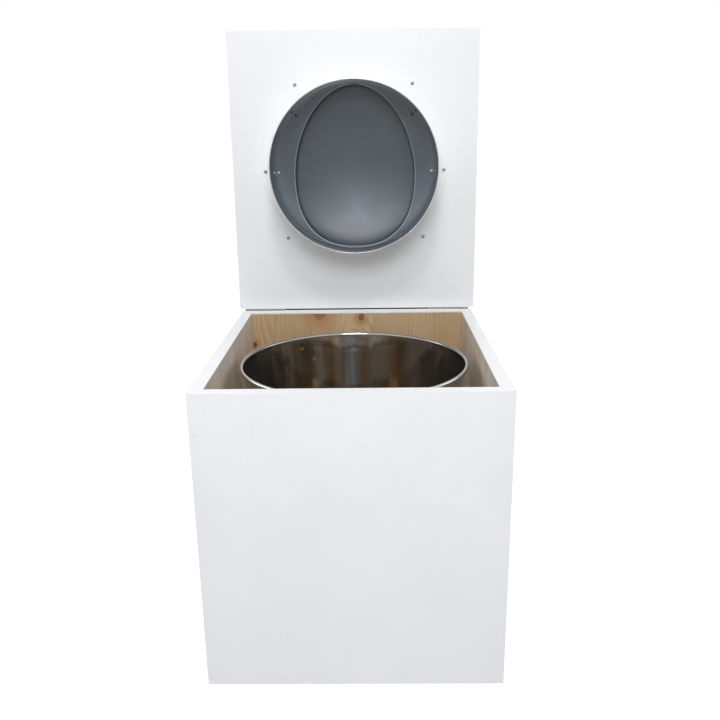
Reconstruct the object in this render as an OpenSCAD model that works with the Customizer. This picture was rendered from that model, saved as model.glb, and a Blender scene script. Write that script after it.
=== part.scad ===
// Composting toilet: a painted spruce box with a hinged seat board, a stainless
// splash collar under it, and a stainless bucket that lifts out.
// Origin: centre of the box's underside. X to the right, Y to the back, Z up.
// The seat board is drawn standing open, leaning back a little.

/* [Box] */
// Width of the box, outside
box_w = 400; // [390:1:480]
// Depth of the box, front to back, outside
box_d = 450; // [440:1:540]
// Height of the box, from the floor to its top edges
box_h = 417; // [410:1:520]
// Thickness of the box's boards
panel_t = 18; // [15:0.5:22]

/* [Box screws] */
// Radius of a box screw's shank
screw_r = 2; // [1.5:0.1:2.5]
// Radius of a box screw's head
screw_head_r = 3.2; // [2.8:0.1:4]
// Length of a box screw
screw_len = 45; // [35:1:60]
// How far a painted head stands out of the board
screw_raise = 0.4; // [0.2:0.1:0.8]
// Height of the lowest screw, and depth of the highest one under the top edge
screw_edge = 52; // [30:1:90]
// Screws along each upright edge of the front and rear boards
screws_per_edge = 3; // [2:1:5]
// Distance between the screws along each side of the floor board
base_screw_pitch = 130; // [60:1:170]

/* [Seat board] */
// Thickness of the seat board
board_t = 18; // [16:0.5:24]
// How far the seat board stands over each side of the box
board_side_lip = 5; // [0:0.5:15]
// How far the seat board stands over the front of the box
board_front_lip = 6; // [0:0.5:20]
// Radius of the seat board's corners
board_corner_r = 4; // [1:0.5:12]
// How far the open seat board leans back past upright, in degrees
open_lean = 1.8; // [0:0.1:8]

/* [Board hinges] */
// Length of a hinge
hinge_len = 70; // [50:1:90]
// Distance from the box's side to the hinge's end
hinge_inset = 4; // [2:1:40]
// Thickness of a hinge leaf
leaf_t = 1.5; // [1:0.1:2]
// How far a leaf stays back from the seat board's upper face
leaf_margin = 2; // [1:0.5:4]
// Outer radius of a hinge knuckle
knuckle_r = 2.2; // [2:0.1:3]
// Radius of the hinge pin
hinge_pin_r = 1.1; // [0.8:0.1:1.3]
// Knuckles in one hinge
knuckles = 5; // [3:2:9]
// Radius of a hinge screw's shank
hinge_screw_r = 1.5; // [1:0.1:1.8]
// Radius of a hinge screw's head
hinge_screw_head_r = 2.8; // [2.4:0.1:3.2]
// Length of a hinge screw
hinge_screw_len = 15; // [10:1:16]
// Distance between a leaf's screws
hinge_screw_pitch = 25; // [15:1:30]

/* [Splash collar] */
// How far the middle of the throat lies in front of the box's middle
throat_forward = 15; // [0:1:25]
// Gap between the collar and the bucket's mouth, which it swings through
mouth_gap = 24.8; // [20:0.1:35]
// How far the collar hangs below the seat board
collar_drop = 65; // [40:1:80]
// Thickness of the collar's sheet
collar_t = 1.5; // [1:0.1:2]
// Width of the collar's flange
flange_w = 20; // [18:0.5:22]
// How far the flange is set toward the front of the throat
flange_shift = 4; // [0:0.5:5]
// Distance of a flange screw from the outside of the collar's tube
flange_screw_off = 13.5; // [8:0.5:13.5]
// Angle of a flange screw from straight ahead, round the throat
flange_screw_angle = 92; // [70:1:110]
// Radius of a small screw's shank
small_screw_r = 1.5; // [1.2:0.1:1.8]
// Radius of a small screw's pan head
pan_head_r = 3.1; // [2.6:0.1:3.4]
// Height of a pan head
pan_head_h = 1.8; // [1.2:0.1:2.4]
// Length of a flange screw
flange_screw_len = 15; // [10:1:16]

/* [Seat ring] */
// Thickness of the seat ring
ring_t = 20; // [16:0.5:26]
// Distance of the ring from each side of the seat board
ring_side_in = 22; // [15:0.5:27]
// Distance of the ring from the front edge of the seat board
ring_front_in = 16; // [4:1:26]
// Distance of the ring from the rear edge of the seat board
ring_back_in = 62; // [60:1:68]
// How far behind the middle of the throat the ring is widest
widest_back = 12; // [0:1:20]
// How far the ring's opening is narrower than the throat, at each side
opening_side_in = 33; // [25:0.5:45]
// Distance of the opening's front end from the throat's wall
opening_front_in = 0.5; // [0:0.5:10]
// Distance of the opening's rear end from the throat's wall
opening_back_in = 2; // [0:0.5:10]
// Radius of the blind holes in the ring's underside
blind_hole_r = 2.8; // [2:0.1:3.5]
// Depth of the blind holes
blind_hole_depth = 12; // [6:1:14]
// Distance of a blind hole's middle from the throat's wall
blind_hole_in = 5.4; // [4:0.1:7]
// Angle of the blind holes from straight ahead, round the throat
blind_hole_angle = 48.5; // [46:0.5:52]
// Angle of the ring's front screws from straight ahead, round the throat
front_screw_angle = 36; // [32:1:38]
// Angle of the ring's rear screws from straight ahead, round the throat
rear_screw_angle = 135; // [130:1:140]
// How deep a ring screw bites into the ring
ring_screw_bite = 12; // [8:1:14]
// Distance of a side screw in the ring's underside from the throat's wall
side_screw_in = 4.3; // [4:0.1:6]
// Angle of the side screws from straight ahead, round the throat
side_screw_angle = 93.5; // [80:0.5:100]
// Length of a side screw
side_screw_len = 12; // [8:1:14]

/* [Seat lid] */
// Height of the lid's rim
lid_rim_h = 14; // [12:0.5:18]
// How much the lid's middle stands above its rim
lid_crown = 1.8; // [1:0.1:4]
// Depth of the hollow under the lid
lid_hollow = 8; // [4:0.5:9]
// Width of the rim under the lid
lid_rim_w = 13; // [10:0.5:16]
// Height of a lid buffer, which is the gap between ring and lid
buffer_h = 2.5; // [1.5:0.1:4]
// Radius of a lid buffer
buffer_r = 4.5; // [3:0.5:5]
// How far a buffer's middle lies in from the lid's edge
buffer_in = 8; // [7:0.5:8.5]

/* [Lid hinges] */
// Distance of the lid's hinge pins from the rear edge of the seat board
lid_axis_in = 38; // [36:1:40]
// Height of the lid's hinge pins over the seat board
lid_axis_h = 16; // [14:0.5:17]
// Distance of a hinge post from the middle line
post_x = 77.5; // [65:0.5:85]
// Width of a hinge post
post_w = 15; // [12:0.5:18]
// Outer radius of the hinge barrels
barrel_r = 8; // [7:0.5:9]
// Radius of a post's foot
foot_r = 17; // [16:0.5:18]
// Thickness of a post's foot
foot_t = 4; // [3:0.5:5]
// Radius of a lid hinge pin
lid_pin_r = 4; // [3:0.1:5]
// Width of a barrel on the ring or the lid
lug_w = 14; // [10:0.5:16]
// Distance of a post's screws from its middle
post_screw_y = 12.5; // [12.5:0.1:13]
// Length of a post's screw
post_screw_len = 16; // [12:1:19]

/* [Bucket] */
// Distance of the bucket's rim below the top edges of the box
rim_below_top = 21; // [14:1:49]
// Gap between the bucket's rim and the bail that turns round it
rim_gap = 3.6; // [3:0.1:8]
// How much smaller the radius of the bucket's wall is at the bottom than at the top
bucket_taper = 38.3; // [12:0.1:52]
// Thickness of the bucket's sheet
bucket_t = 1; // [0.8:0.1:1.5]
// Radius of the rolled rim
rim_r = 3.3; // [2.5:0.1:3.6]
// Radius of the corner between the bucket's wall and bottom
bucket_corner_r = 12; // [6:1:20]

/* [Ears and bail] */
// Angle of the rear ear to the left of straight back, in degrees
ear_angle = 33; // [20:1:60]
// Depth of the bail's pivot below the bucket's rim
pivot_below_rim = 28; // [26:1:40]
// Thickness of an ear plate
ear_t = 1.5; // [1:0.1:2]
// Half the width of an ear plate at its lower edge
ear_half_w = 22; // [18:1:26]
// Half the width of an ear plate at its upper edge
ear_top_half_w = 9; // [8:1:16]
// Half the height of an ear plate
ear_half_h = 15; // [12:1:16]
// Radius of an ear's boss
ear_boss_r = 7; // [6:0.5:9]
// How far the boss stands off the bucket
ear_boss_h = 9; // [7:0.5:10]
// Radius of the bail's wire
wire_r = 2.5; // [2:0.1:3]
// Gap between the box's nearest wall and the bail when it stands out level
bail_gap = 1.5; // [0.5:0.1:2]
// Radius of the elbow at each end of the bail
elbow_r = 4; // [3.5:0.1:4.5]
// Length of the grip
grip_len = 66; // [50:1:70]
// Outer radius of the grip
grip_r = 7; // [5:0.5:7]
// Angle of the hanging bail below level, in degrees
hang_angle = 26; // [10:0.5:26.5]

/* [Clearances] */
// Gap between the closed seat board and the box
board_gap = 0.2; // [0.1:0.1:1]
// Gap between the board hinge's knuckles and the wood
knuckle_gap = 0.3; // [0.2:0.1:0.6]
// Radial play of a screw in its hole
screw_play = 0.1; // [0.05:0.01:0.2]
// Radial play of a pin in a bore that turns on it
running_play = 0.05; // [0.02:0.01:0.1]
// Gap between the collar and the hole in the seat board
collar_gap = 0.3; // [0.2:0.1:1]
// Gap between the flange's edge and the heads of the ring's screws
head_gap = 0.4; // [0.2:0.1:1]
// Gap under the lid's buffers when the lid is closed
rest_gap = 0.1; // [0.1:0.05:0.3]
// Sideways gap between barrels on one pin
barrel_gap = 1; // [0.3:0.1:2]
// Height of the lugs' lower faces over the ring they pass
lug_gap = 1; // [0.5:0.1:2]

/* [Hidden] */
$fn = 64;

// Cuts reach this far past the faces they open.
past = 1;
// Sides of the box, left and right.
sides = [-1, 1];
// Straight end of a screw that tapers to its point.
screw_tip = 4;
// Share of a screw's radius that is left at its point.
tip_share = 0.2;
paint = "WhiteSmoke";
raw_wood = "BurlyWood";
steel = "Silver";
seat_grey = "SlateGray";
rubber = "DimGray";

inner_w = box_w - 2 * panel_t;
inner_d = box_d - 2 * panel_t;

// The bail just turns inside the box, the bucket in the bail, and the collar in the bucket.
bucket_room = min(inner_w / 2, inner_d / 2 - throat_forward);
bail_r = bucket_room - bail_gap - wire_r - elbow_r;
bucket_top_r = bail_r - wire_r - rim_gap - 2 * rim_r + bucket_t;
bucket_bottom_r = bucket_top_r - bucket_taper;
bucket_h = box_h - panel_t - rim_below_top;
throat_r = bucket_top_r - bucket_t - mouth_gap - collar_t;

// Heights of the screws along an upright edge.
edge_screw_z = [for (i = [0 : screws_per_edge - 1])
    screw_edge + i * (box_h - 2 * screw_edge) / (screws_per_edge - 1)];

// The board hinge's axis lies just behind the rear face, at the closed board's underside.
axis_y = box_d / 2 + knuckle_r + knuckle_gap;
axis_z = box_h + board_gap;
board_top = axis_z + board_t;
leaf_w = board_t - leaf_margin;
hinge_x = box_w / 2 - hinge_inset - hinge_len / 2;
knuckle_len = hinge_len / knuckles;
leaf_edge = knuckle_r + knuckle_gap;

// Middle of the throat, and of everything that lines up with it.
throat_y = -throat_forward;
tube_r = throat_r + collar_t;
flange_r = tube_r + flange_w;
// The ring's screws stand on a circle that clears the flange all round.
ring_screw_circle = flange_r + flange_shift + pan_head_r + head_gap;
// The seat's sizes, from the middle of the throat.
ring_half_w = box_w / 2 + board_side_lip - ring_side_in;
ring_front = box_d / 2 + board_front_lip - throat_forward - ring_front_in;
ring_back = box_d / 2 + throat_forward - ring_back_in;
lid_axis_back = box_d / 2 + throat_forward - lid_axis_in;
opening_half_w = throat_r - opening_side_in;
opening_front = throat_r - opening_front_in;
opening_back = throat_r - opening_back_in;
lid_bottom = ring_t + buffer_h;
lid_lug_x = post_x + post_w / 2 + barrel_gap + lug_w / 2;
ring_lug_x = post_x - post_w / 2 - barrel_gap - lug_w / 2;

bucket_z = panel_t;
pivot_h = bucket_h - pivot_below_rim;
// The bucket's wall runs straight from where its corner ends to the rolled rim.
bucket_slope = atan((bucket_top_r - bucket_bottom_r) / bucket_h);
corner_x = bucket_bottom_r - bucket_corner_r;
wall_foot_r = corner_x + bucket_corner_r * cos(bucket_slope);
wall_foot_z = bucket_corner_r * (1 - sin(bucket_slope));
// Sides of an outline of the seat, and how square its front and rear ends are.
outline_sides = 48;
front_power = 2.1;
opening_front_power = 1.9;
rear_power = 2.4;
// How far in from the lid's edge a step of its crown lies, and the share reached there.
crown_steps = [[30, 0.4], [70, 0.8], [100, 1]];

// Outer radius of the bucket's wall at a height over its bottom.
function wall_r(z) = wall_foot_r
    + (bucket_top_r - wall_foot_r) * (z - wall_foot_z) / (bucket_h - rim_r - wall_foot_z);

// One end-to-end rounded axis of an outline: x or y for a direction's cosine.
function bowed(c, half, power) = half * sign(c) * pow(abs(c), 2 / power);

// An egg-shaped outline: an ellipse-like front and rear that meet where it is widest.
function egg(half_w, front, back, inset = 0, ahead = front_power) =
    [for (i = [0 : outline_sides - 1])
        let (a = 360 * i / outline_sides,
            power = sin(a) < 0 ? ahead : rear_power,
            reach = sin(a) < 0 ? front + widest_back : back - widest_back)
        [bowed(cos(a), half_w - inset, power),
            widest_back + bowed(sin(a), reach - inset, power)]];

function ring_outer(inset) = egg(ring_half_w, ring_front, ring_back, inset);
function ring_inner(inset) =
    egg(opening_half_w, opening_front, opening_back, -inset, opening_front_power);
function at_height(outline, z) = [for (p = outline) [p[0], p[1], z]];

// Two triangles between each pair of neighbouring points of two loops.
function band(a, b, n) =
    [for (i = [0 : n - 1], side = [0, 1])
        let (j = (i + 1) % n)
        side == 0 ? [a * n + i, b * n + i, b * n + j] : [a * n + i, b * n + j, a * n + j]];

// A solid from loops of points, each joined to the next, with a flat cap at each end.
module lofted(loops) {
    n = len(loops[0]);
    last = len(loops) - 1;
    polyhedron(
        points = [for (l = loops, p = l) p],
        faces = concat(
            [for (k = [0 : last - 1], f = band(k, k + 1, n)) f],
            [[for (i = [0 : n - 1]) i], [for (i = [n - 1 : -1 : 0]) last * n + i]]),
        convexity = 4);
}

// A ring-shaped solid from loops of points, the last joined to the first.
module lofted_ring(loops) {
    n = len(loops[0]);
    count = len(loops);
    polyhedron(
        points = [for (l = loops, p = l) p],
        faces = [for (k = [0 : count - 1], f = band(k, (k + 1) % count, n)) f],
        convexity = 6);
}

// Turns what is drawn with the seat board closed to where it stands open.
module opened() {
    translate([0, axis_y, axis_z])
        rotate([-(90 + open_lean), 0, 0])
            translate([0, -axis_y, -axis_z])
                children();
}

// Frame of the seat: the throat's middle, on the closed seat board's upper face.
module on_board() {
    opened() translate([0, throat_y, board_top]) children();
}

// Mirrors what is drawn on the right to the left where side is -1.
module to_side(side) {
    if (side < 0) mirror([1, 0, 0]) children();
    else children();
}

module on_both_sides() {
    for (side = sides)
        to_side(side) children();
}

// Two places at a radius round the throat, at an angle from straight ahead.
module round_throat(r, angle) {
    for (side = sides)
        translate([side * r * sin(angle), -r * cos(angle), 0])
            children();
}

// A countersunk wood screw along +Z, its head's face at z = 0.
module countersunk_screw(length, shank_r, head_r, proud = 0) {
    cylinder(h = head_r - shank_r, r1 = head_r, r2 = shank_r);
    cylinder(h = length - screw_tip, r = shank_r);
    translate([0, 0, length - screw_tip])
        cylinder(h = screw_tip, r1 = shank_r, r2 = shank_r * tip_share);
    if (proud > 0)
        translate([0, 0, -proud])
            cylinder(h = proud, r = head_r);
}

// The hole that such a screw sits in.
module countersunk_hole(length, shank_r, head_r) {
    grown = head_r + screw_play;
    cylinder(h = length + screw_play, r = shank_r + screw_play);
    cylinder(h = head_r - shank_r, r1 = grown, r2 = shank_r + screw_play);
    translate([0, 0, -past])
        cylinder(h = past, r = grown);
}

// A pan-head screw along +Z, its head under z = 0, with a hexagonal socket.
module pan_screw(length) {
    crown_share = 0.8;
    socket_share = 0.38;
    socket_depth = pan_head_h * 0.6;
    difference() {
        translate([0, 0, -pan_head_h])
            cylinder(h = pan_head_h, r1 = pan_head_r * crown_share, r2 = pan_head_r);
        translate([0, 0, -pan_head_h - past])
            cylinder(h = socket_depth + past, r = pan_head_r * socket_share, $fn = 6);
    }
    cylinder(h = length - screw_tip, r = small_screw_r);
    translate([0, 0, length - screw_tip])
        cylinder(h = screw_tip, r1 = small_screw_r, r2 = small_screw_r * tip_share);
}

module pan_hole(length) {
    translate([0, 0, -past])
        cylinder(h = length + past + screw_play, r = small_screw_r + screw_play);
}

// Places of the screws through the front board, or the rear one with side = 1.
module edge_screw_places(side) {
    for (x = sides * (box_w - panel_t) / 2, z = edge_screw_z)
        translate([x, side * box_d / 2, z])
            rotate([90 * side, 0, 0])
                children();
}

module base_screw_places() {
    for (side = sides, i = [-1, 0, 1])
        translate([side * box_w / 2, i * base_screw_pitch, panel_t / 2])
            rotate([0, -90 * side, 0])
                children();
}

module box_screw() {
    countersunk_screw(screw_len, screw_r, screw_head_r, screw_raise);
}

module box_hole() {
    countersunk_hole(screw_len, screw_r, screw_head_r);
}

module front_panel() {
    color(paint)
    difference() {
        translate([-box_w / 2, -box_d / 2, 0])
            cube([box_w, panel_t, box_h]);
        edge_screw_places(-1) box_hole();
    }
}

module rear_panel() {
    color(paint)
    difference() {
        translate([-box_w / 2, box_d / 2 - panel_t, 0])
            cube([box_w, panel_t, box_h]);
        edge_screw_places(1) box_hole();
        hinge_screw_places() hinge_screw_hole();
    }
}

module side_panel(side) {
    color(paint)
    difference() {
        to_side(side)
            translate([inner_w / 2, -inner_d / 2, 0])
                cube([panel_t, inner_d, box_h]);
        edge_screw_places(-1) box_hole();
        edge_screw_places(1) box_hole();
        base_screw_places() box_hole();
    }
}

module left_panel() {
    side_panel(-1);
}

module right_panel() {
    side_panel(1);
}

module base_panel() {
    color(raw_wood)
    difference() {
        translate([-inner_w / 2, -inner_d / 2, 0])
            cube([inner_w, inner_d, panel_t]);
        base_screw_places() box_hole();
    }
}

module front_panel_screws() {
    color(paint) edge_screw_places(-1) box_screw();
}

module rear_panel_screws() {
    color(paint) edge_screw_places(1) box_screw();
}

module base_screws() {
    color(paint) base_screw_places() box_screw();
}

// The closed seat board's outline, from above.
module board_outline() {
    half_w = box_w / 2 + board_side_lip;
    front = -box_d / 2 - board_front_lip;
    depth = box_d + board_front_lip;
    r = board_corner_r;
    for (x = sides * (half_w - r), y = [front + r, front + depth - r])
        translate([x, y]) circle(r);
    translate([-half_w, front + r])
        square([2 * half_w, depth - 2 * r]);
    translate([-half_w + r, front])
        square([2 * (half_w - r), depth]);
}

module seat_board() {
    color(paint)
    opened()
    difference() {
        translate([0, 0, axis_z])
            linear_extrude(board_t) board_outline();
        translate([0, throat_y, axis_z - past])
            cylinder(h = board_t + 2 * past, r = tube_r + collar_gap);
        hinge_screw_places(1) hinge_screw_hole();
        translate([0, throat_y, axis_z]) {
            flange_screw_places() pan_hole(flange_screw_len - collar_t);
            ring_screw_places() pan_hole(board_t + past);
        }
        translate([0, throat_y, board_top])
            post_screw_places() pan_hole(post_screw_len - foot_t);
    }
}

// Places of the leaf screws, from behind: on the box, or with up = 1 on the closed board.
module hinge_screw_places(up = -1) {
    middle = (leaf_edge + leaf_w) / 2;
    for (side = sides, i = [-1, 0, 1])
        translate([side * hinge_x + i * hinge_screw_pitch, box_d / 2 + leaf_t,
            axis_z + up * middle])
            rotate([90, 0, 0])
                children();
}

module hinge_screw() {
    countersunk_screw(hinge_screw_len, hinge_screw_r, hinge_screw_head_r);
}

module hinge_screw_hole() {
    countersunk_hole(hinge_screw_len, hinge_screw_r, hinge_screw_head_r);
}

// One leaf, drawn closed: up = -1 lies on the box, up = 1 on the seat board's rear edge.
// Its own knuckles are the even ones or, with first = 1, the odd ones.
module hinge_leaf(side, up, first) {
    own = [first : 2 : knuckles - 1];
    gap = knuckle_gap;
    plate_low = up > 0 ? axis_z + leaf_edge : axis_z - leaf_w;
    color(steel)
    difference() {
        union() {
            translate([side * hinge_x - hinge_len / 2, box_d / 2, plate_low])
                cube([hinge_len, leaf_t, leaf_w - leaf_edge]);
            for (k = own) {
                start = side * hinge_x - hinge_len / 2 + k * knuckle_len + gap / 2;
                translate([start, axis_y, axis_z])
                    rotate([0, 90, 0])
                        cylinder(h = knuckle_len - gap, r = knuckle_r);
                translate([start, axis_y - knuckle_r, up > 0 ? axis_z : axis_z - leaf_edge - past])
                    cube([knuckle_len - gap, leaf_t, leaf_edge + past]);
            }
        }
        translate([side * hinge_x - hinge_len / 2 - past, axis_y, axis_z])
            rotate([0, 90, 0])
                cylinder(h = hinge_len + 2 * past, r = hinge_pin_r + running_play);
        hinge_screw_places(up) hinge_screw_hole();
    }
}

module hinge_leaf_fixed_left() {
    hinge_leaf(-1, -1, 0);
}

module hinge_leaf_fixed_right() {
    hinge_leaf(1, -1, 0);
}

module hinge_leaf_moving_left() {
    opened() hinge_leaf(-1, 1, 1);
}

module hinge_leaf_moving_right() {
    opened() hinge_leaf(1, 1, 1);
}

module hinge_pin(side) {
    color(steel)
    translate([side * hinge_x - hinge_len / 2, axis_y, axis_z])
        rotate([0, 90, 0])
            cylinder(h = hinge_len, r = hinge_pin_r);
}

module hinge_pin_left() {
    hinge_pin(-1);
}

module hinge_pin_right() {
    hinge_pin(1);
}

module hinge_screws_box() {
    color(steel) hinge_screw_places() hinge_screw();
}

module hinge_screws_board() {
    color(steel) opened() hinge_screw_places(1) hinge_screw();
}

// Places of screws that go up through the seat board, seen from the throat's middle.
module flange_screw_places() {
    round_throat(tube_r + flange_screw_off, flange_screw_angle) children();
}

module ring_screw_places() {
    round_throat(ring_screw_circle, front_screw_angle) children();
    round_throat(ring_screw_circle, rear_screw_angle) children();
}

module side_screw_places() {
    round_throat(throat_r - side_screw_in, side_screw_angle) children();
}

module splash_collar() {
    edge_r = collar_t / 2;
    edge_z = -board_t - collar_drop + edge_r;
    color(steel)
    on_board()
    difference() {
        union() {
            rotate_extrude() {
                translate([throat_r, edge_z])
                    square([collar_t, -edge_z]);
                translate([throat_r + edge_r, edge_z])
                    circle(r = edge_r);
            }
            translate([0, 0, -board_t - collar_t])
                linear_extrude(collar_t)
                    difference() {
                        translate([0, -flange_shift]) circle(r = flange_r);
                        circle(r = throat_r + edge_r);
                    }
        }
        translate([0, 0, -board_t - collar_t])
            flange_screw_places() pan_hole(flange_screw_len);
    }
}

module collar_screws() {
    color(steel)
    on_board()
        translate([0, 0, -board_t - collar_t])
            flange_screw_places() pan_screw(flange_screw_len);
}

// The loops of points round the seat ring's section, from its inner lower edge outwards.
function ring_loops() = let (edge = 1.2, foot = 3, shoulder = 8, bevel = 2.5, brow = 7) [
    at_height(ring_inner(edge), 0),
    at_height(ring_outer(foot), 0),
    at_height(ring_outer(0), foot),
    at_height(ring_outer(0), ring_t - shoulder),
    at_height(ring_outer(bevel), ring_t - bevel),
    at_height(ring_outer(brow), ring_t),
    at_height(ring_inner(brow), ring_t),
    at_height(ring_inner(bevel), ring_t - bevel),
    at_height(ring_inner(0), ring_t - shoulder),
    at_height(ring_inner(0), edge)];

// A barrel on the lid's hinge axis.
module barrel(x, width) {
    translate([x - width / 2, lid_axis_back, lid_axis_h])
        rotate([0, 90, 0])
            cylinder(h = width, r = barrel_r);
}

module barrel_bore(x, width) {
    translate([x - width / 2 - past, lid_axis_back, lid_axis_h])
        rotate([0, 90, 0])
            cylinder(h = width + 2 * past, r = lid_pin_r + running_play);
}

module seat_ring() {
    web_root = 16;
    web_from = ring_back - web_root;
    web_h = 10;
    color(seat_grey)
    on_board()
    difference() {
        union() {
            lofted_ring(ring_loops());
            on_both_sides() {
                barrel(ring_lug_x, lug_w);
                translate([ring_lug_x - lug_w / 2, web_from, foot_t])
                    cube([lug_w, lid_axis_back - web_from, web_h]);
            }
        }
        on_both_sides() barrel_bore(ring_lug_x, lug_w);
        round_throat(throat_r - blind_hole_in, blind_hole_angle)
            translate([0, 0, -past])
                cylinder(h = blind_hole_depth + past, r = blind_hole_r);
        side_screw_places() pan_hole(side_screw_len);
        ring_screw_places() pan_hole(ring_screw_bite);
    }
}

module seat_ring_screws() {
    color(steel)
    on_board()
        translate([0, 0, -board_t])
            ring_screw_places() pan_screw(board_t + ring_screw_bite);
}

module seat_ring_side_screws() {
    color(steel)
    on_board() side_screw_places() pan_screw(side_screw_len);
}

// The loops of points from the hollow under the lid, round its rim, to its crown.
function lid_loops() = let (low = lid_bottom, top = lid_bottom + lid_rim_h,
    cove = 4, draft = 1, cove_h = 2, edge = 2, shoulder = 5, bevel = 2.5, bevel_h = 2, brow = 8) [
    at_height(ring_outer(lid_rim_w + cove), low + lid_hollow),
    at_height(ring_outer(lid_rim_w + draft), low + lid_hollow - cove_h),
    at_height(ring_outer(lid_rim_w), low),
    at_height(ring_outer(edge), low),
    at_height(ring_outer(0), low + edge),
    at_height(ring_outer(0), top - shoulder),
    at_height(ring_outer(bevel), top - bevel_h),
    at_height(ring_outer(brow), top),
    for (step = crown_steps) at_height(ring_outer(step[0]), top + step[1] * lid_crown)];

module seat_lid() {
    web_root = 20;
    web_from = ring_back - web_root;
    web_to = lid_axis_back + barrel_r / 2;
    web_h = 8;
    color(seat_grey)
    on_board()
    difference() {
        union() {
            lofted(lid_loops());
            on_both_sides() {
                barrel(lid_lug_x, lug_w);
                translate([lid_lug_x - lug_w / 2, web_from, ring_t + lug_gap])
                    cube([lug_w, web_to - web_from, web_h]);
            }
        }
        on_both_sides() barrel_bore(lid_lug_x, lug_w);
    }
}

// Buffers on the lid's rim, over the flat of the ring, one in each quarter.
module lid_buffers() {
    rim = ring_outer(buffer_in);
    quarter = outline_sides / 4;
    color(rubber)
    on_board()
        for (i = [0 : 3])
            translate([rim[(i + 0.5) * quarter][0], rim[(i + 0.5) * quarter][1], ring_t + rest_gap])
                cylinder(h = buffer_h - rest_gap, r = buffer_r);
}

module post_screw_places() {
    for (side = sides, y = sides * post_screw_y)
        translate([side * post_x, lid_axis_back + y, 0])
            mirror([0, 0, 1])
                children();
}

module lid_hinge_post(side) {
    color(steel)
    on_board()
        to_side(side)
            difference() {
                union() {
                    translate([post_x, lid_axis_back, 0])
                        cylinder(h = foot_t, r = foot_r);
                    translate([post_x - post_w / 2, lid_axis_back - barrel_r, 0])
                        cube([post_w, 2 * barrel_r, lid_axis_h]);
                    barrel(post_x, post_w);
                }
                barrel_bore(post_x, post_w);
                translate([0, 0, foot_t])
                    post_screw_places()
                        countersunk_hole(post_screw_len, small_screw_r, pan_head_r);
            }
}

module lid_hinge_post_left() {
    lid_hinge_post(-1);
}

module lid_hinge_post_right() {
    lid_hinge_post(1);
}

module lid_hinge_pin(side) {
    length = post_w + 2 * (barrel_gap + lug_w);
    color(steel)
    on_board()
        to_side(side)
            translate([post_x - length / 2, lid_axis_back, lid_axis_h])
                rotate([0, 90, 0])
                    cylinder(h = length, r = lid_pin_r);
}

module lid_hinge_pin_left() {
    lid_hinge_pin(-1);
}

module lid_hinge_pin_right() {
    lid_hinge_pin(1);
}

module lid_hinge_screws() {
    color(steel)
    on_board()
        translate([0, 0, foot_t])
            post_screw_places()
                countersunk_screw(post_screw_len, small_screw_r, pan_head_r);
}

// The bucket's outer shape, or its inside with inset = the sheet's thickness.
module bucket_form(inset = 0) {
    corner = bucket_corner_r - inset;
    top = inset > 0 ? bucket_h + past : bucket_h - rim_r;
    steps = 6;
    arc = [for (i = [0 : steps])
        let (a = -90 + (90 - bucket_slope) * i / steps)
        [corner_x + corner * cos(a), bucket_corner_r + corner * sin(a)]];
    rotate_extrude()
        polygon(concat([[0, inset]], arc, [[wall_r(top) - inset, top], [0, top]]));
}

module in_box() {
    translate([0, throat_y, bucket_z]) children();
}

module bucket() {
    color(steel)
    in_box()
    difference() {
        union() {
            bucket_form();
            rotate_extrude()
                translate([bucket_top_r - bucket_t + rim_r, bucket_h - rim_r])
                    circle(r = rim_r);
        }
        bucket_form(bucket_t);
    }
}

// An ear on the bucket's wall, in the bucket's frame with the ear at +Y. Its boss has
// a blind bore that the bail's end turns in.
module ear() {
    shoulder = 6;
    low = pivot_h - ear_half_h - past;
    high = pivot_h + ear_half_h + past;
    pivot_r = wall_r(pivot_h);
    difference() {
        union() {
            intersection() {
                rotate_extrude()
                    polygon([[wall_r(low), low], [wall_r(low) + ear_t, low],
                        [wall_r(high) + ear_t, high], [wall_r(high), high]]);
                translate([0, 0, pivot_h])
                    rotate([90, 0, 180])
                        linear_extrude(bucket_top_r + ear_boss_h)
                            polygon([[-ear_half_w, -ear_half_h], [ear_half_w, -ear_half_h],
                                [ear_half_w, -shoulder], [ear_top_half_w, ear_half_h],
                                [-ear_top_half_w, ear_half_h], [-ear_half_w, -shoulder]]);
            }
            translate([0, pivot_r - ear_t, pivot_h])
                rotate([-90, 0, 0])
                    cylinder(h = ear_boss_h + ear_t, r = ear_boss_r);
        }
        bucket_form();
        translate([0, pivot_r + ear_t, pivot_h])
            rotate([-90, 0, 0])
                cylinder(h = ear_boss_h + past, r = wire_r + running_play);
    }
}

module bucket_ear_back() {
    color(steel) in_box() rotate([0, 0, ear_angle]) ear();
}

module bucket_ear_front() {
    color(steel) in_box() rotate([0, 0, ear_angle + 180]) ear();
}

// The bail's frame: its pivots lie along Y, and it reaches out along +X, which hangs
// down toward the front left.
module at_bail() {
    in_box()
        translate([0, 0, pivot_h])
            rotate([0, hang_angle, ear_angle + 180])
                children();
}

// A round bar bent to a radius in the bail's plane, from one angle on.
module bent_bar(bend_r, from, angle) {
    rotate([0, 0, from])
        rotate_extrude(angle = angle)
            translate([bend_r, 0])
                children();
}

// The bail is a half circle with an elbow and a straight end at each side. The elbows
// are a little thicker and lap over the wire, and the ends stop short of the bottoms of
// the ears' bores.
module bail() {
    end_gap = 1;
    swell = 0.15;
    lap = 4;
    end_y = wall_r(pivot_h) + ear_t + end_gap;
    straight_y = bail_r - elbow_r;
    color(steel)
    at_bail() {
        translate([elbow_r, 0, 0])
            bent_bar(bail_r, -90, 180) circle(r = wire_r);
        for (side = sides) {
            translate([elbow_r, side * straight_y, 0])
                bent_bar(elbow_r, (side > 0 ? 90 : 180) - lap, 90 + 2 * lap)
                    circle(r = wire_r + swell);
            translate([0, side * end_y, 0])
                rotate([-90 * side, 0, 0])
                    cylinder(h = straight_y - end_y, r = wire_r);
        }
    }
}

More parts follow.
